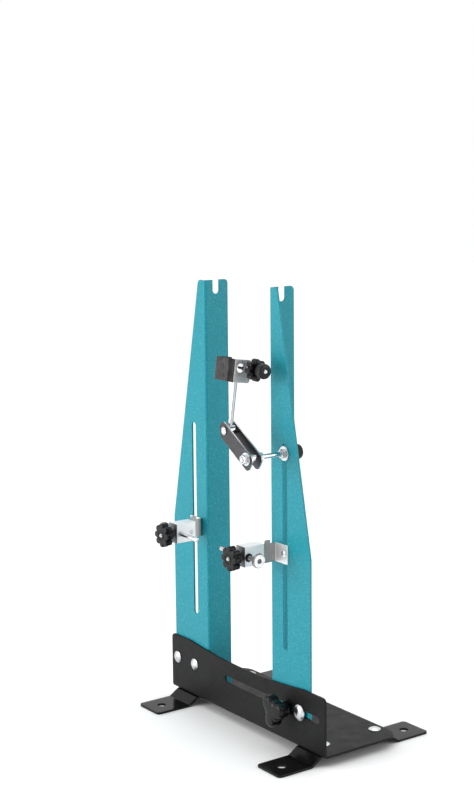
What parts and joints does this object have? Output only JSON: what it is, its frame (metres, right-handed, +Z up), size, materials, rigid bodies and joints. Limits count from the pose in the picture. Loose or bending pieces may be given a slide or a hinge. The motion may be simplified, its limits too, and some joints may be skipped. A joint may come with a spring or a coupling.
{
  "type": "bicycle wheel truing stand",
  "caption": "Bench stand that holds a bicycle wheel by its axle between a fixed and a sliding post, with rim feelers and a jointed brake rotor gauge.",
  "frame": {"origin": "centre of the four foot holes, on the bench plane", "axes": "+X along the wheel axle towards the sliding post, +Y to the back, +Z up"},
  "size_m": [0.328, 0.244, 0.57],
  "materials": {
    "base_coat": "satin black powder coat",
    "foot_coat": "gloss black paint",
    "post_coat": "speckled teal powder coat",
    "zinc": "bright zinc plate",
    "gauge_alloy": "satin",
    "thumb_alloy": "turned and knurled",
    "bush_steel": "blackened",
    "rod_steel": "polished",
    "link_steel": "dark brushed",
    "fork_steel": "brushed",
    "knob_plastic": "gloss black"
  },
  "bodies": {
    "stand": {"base_tray": "base_coat", "left_foot": "foot_coat", "right_foot": "foot_coat", "foot_bolts": "zinc", "foot_nuts": "zinc", "fixed_post": "post_coat", "fixed_post_bolts": "zinc", "fixed_post_nuts": "zinc"},
    "sliding_post": {"sliding_post": "post_coat", "guide_bolt": "zinc", "guide_nut": "zinc", "clamp_bolt": "zinc", "clamp_washer": "zinc"},
    "clamp_knob": {"clamp_knob": "knob_plastic"},
    "left_gauge": {"left_gauge_bracket": "gauge_alloy", "left_gauge_block": "gauge_alloy", "left_block_screw": "zinc", "left_gauge_bolt": "zinc", "left_gauge_washer": "zinc", "left_feeler_bush": "bush_steel"},
    "left_gauge_knob": {"left_gauge_knob": "knob_plastic"},
    "left_feeler": {"left_feeler_screw": "rod_steel"},
    "left_thumb": {"left_thumb_disc": "thumb_alloy"},
    "left_lock": {"left_lock_stud": "zinc", "left_lock_knob": "knob_plastic"},
    "right_gauge": {"right_gauge_bracket": "gauge_alloy", "right_gauge_block": "gauge_alloy", "right_block_screw": "zinc", "right_gauge_bolt": "zinc", "right_gauge_washer": "zinc", "right_feeler_bush": "bush_steel"},
    "right_gauge_knob": {"right_gauge_knob": "knob_plastic"},
    "right_feeler": {"right_feeler_screw": "rod_steel"},
    "right_thumb": {"right_thumb_disc": "thumb_alloy"},
    "right_lock": {"right_lock_stud": "zinc", "right_lock_knob": "knob_plastic"},
    "arm": {"arm_rod": "rod_steel", "arm_nuts": "zinc", "arm_washers": "zinc"},
    "arm_knob": {"arm_knob": "knob_plastic"},
    "link": {"link_front_plate": "link_steel", "link_rear_plate": "link_steel", "link_spacer": "rod_steel", "pivot_bolt": "zinc", "pivot_nut": "zinc"},
    "rotor_gauge": {"swivel_barrel": "rod_steel", "upright_rod": "rod_steel", "rod_socket": "link_steel", "rotor_fork": "fork_steel", "rotor_nut": "zinc"},
    "rotor_feeler": {"rotor_feeler_screw": "rod_steel"},
    "rotor_feeler_knob": {"rotor_feeler_knob": "knob_plastic"},
    "rotor_lock": {"rotor_lock_knob": "knob_plastic"}
  },
  "joints": [
    {"name": "post_slide", "type": "slide", "parent": "stand", "child": "sliding_post", "axis": [1, 0, 0], "range_m": [-0.044, 0.033]},
    {"name": "clamp_knob_turn", "type": "hinge", "parent": "sliding_post", "child": "clamp_knob", "pos_m": [0.09215, -0.078, 0.0565], "axis": [0, -1, 0], "range_deg": [0, 720]},
    {"name": "left_gauge_slide", "type": "slide", "parent": "stand", "child": "left_gauge", "axis": [0, 0, 1], "range_m": [-0.115, 0.13]},
    {"name": "left_gauge_knob_turn", "type": "hinge", "parent": "left_gauge", "child": "left_gauge_knob", "pos_m": [-0.10935, -0.043, 0.2475], "axis": [0, 1, 0], "range_deg": [0, 720]},
    {"name": "left_lock_turn", "type": "hinge", "parent": "left_gauge", "child": "left_lock", "pos_m": [-0.08625, -0.115, 0.2475], "axis": [0, -1, 0], "range_deg": [0, 720]},
    {"name": "left_feeler_slide", "type": "slide", "parent": "left_gauge", "child": "left_feeler", "axis": [1, 0, 0], "range_m": [-0.038, 0.016]},
    {"name": "left_thumb_turn", "type": "hinge", "parent": "left_feeler", "child": "left_thumb", "pos_m": [-0.11535, -0.0996, 0.2475], "axis": [1, 0, 0], "range_deg": [-13710, 5790]},
    {"name": "right_gauge_slide", "type": "slide", "parent": "sliding_post", "child": "right_gauge", "axis": [0, 0, 1], "range_m": [-0.115, 0.06]},
    {"name": "right_gauge_knob_turn", "type": "hinge", "parent": "right_gauge", "child": "right_gauge_knob", "pos_m": [0.08365, -0.0428, 0.2475], "axis": [0, 1, 0], "range_deg": [0, 720]},
    {"name": "right_lock_turn", "type": "hinge", "parent": "right_gauge", "child": "right_lock", "pos_m": [0.06055, -0.1148, 0.2475], "axis": [0, -1, 0], "range_deg": [0, 720]},
    {"name": "right_feeler_slide", "type": "slide", "parent": "right_gauge", "child": "right_feeler", "axis": [-1, 0, 0], "range_m": [-0.038, 0.016]},
    {"name": "right_thumb_turn", "type": "hinge", "parent": "right_feeler", "child": "right_thumb", "pos_m": [0.08965, -0.0994, 0.2475], "axis": [-1, 0, 0], "range_deg": [-13710, 5790]},
    {"name": "arm_slide", "type": "slide", "parent": "sliding_post", "child": "arm", "axis": [0, 0, 1], "range_m": [-0.03, 0.0075]},
    {"name": "arm_knob_turn", "type": "hinge", "parent": "arm", "child": "arm_knob", "pos_m": [0.08365, -0.043, 0.372], "axis": [0, 1, 0], "range_deg": [0, 720]},
    {"name": "link_swing", "type": "hinge", "parent": "arm", "child": "link", "pos_m": [0.08365, -0.10355, 0.372], "axis": [0, 1, 0], "range_deg": [-40, 40]},
    {"name": "rotor_gauge_swing", "type": "hinge", "parent": "link", "child": "rotor_gauge", "pos_m": [0.03979, -0.10355, 0.39994], "axis": [0, 1, 0], "range_deg": [-50, 50]},
    {"name": "rotor_feeler_slide", "type": "slide", "parent": "rotor_gauge", "child": "rotor_feeler", "axis": [-1, 0, 0], "range_m": [-0.012, 0.0068]},
    {"name": "rotor_knob_turn", "type": "hinge", "parent": "rotor_feeler", "child": "rotor_feeler_knob", "pos_m": [0.07479, -0.08164, 0.4732], "axis": [-1, 0, 0], "range_deg": [-5430, 3090]},
    {"name": "rotor_lock_turn", "type": "hinge", "parent": "rotor_feeler", "child": "rotor_lock", "pos_m": [0.06279, -0.08164, 0.4732], "axis": [-1, 0, 0], "range_deg": [0, 720]}
  ],
  "couplings": [
    {"joint": "left_thumb_turn", "follows": "left_feeler_slide", "rad_per_m": 6283.2},
    {"joint": "right_thumb_turn", "follows": "right_feeler_slide", "rad_per_m": 6283.2},
    {"joint": "rotor_knob_turn", "follows": "rotor_feeler_slide", "rad_per_m": 7854}
  ]
}
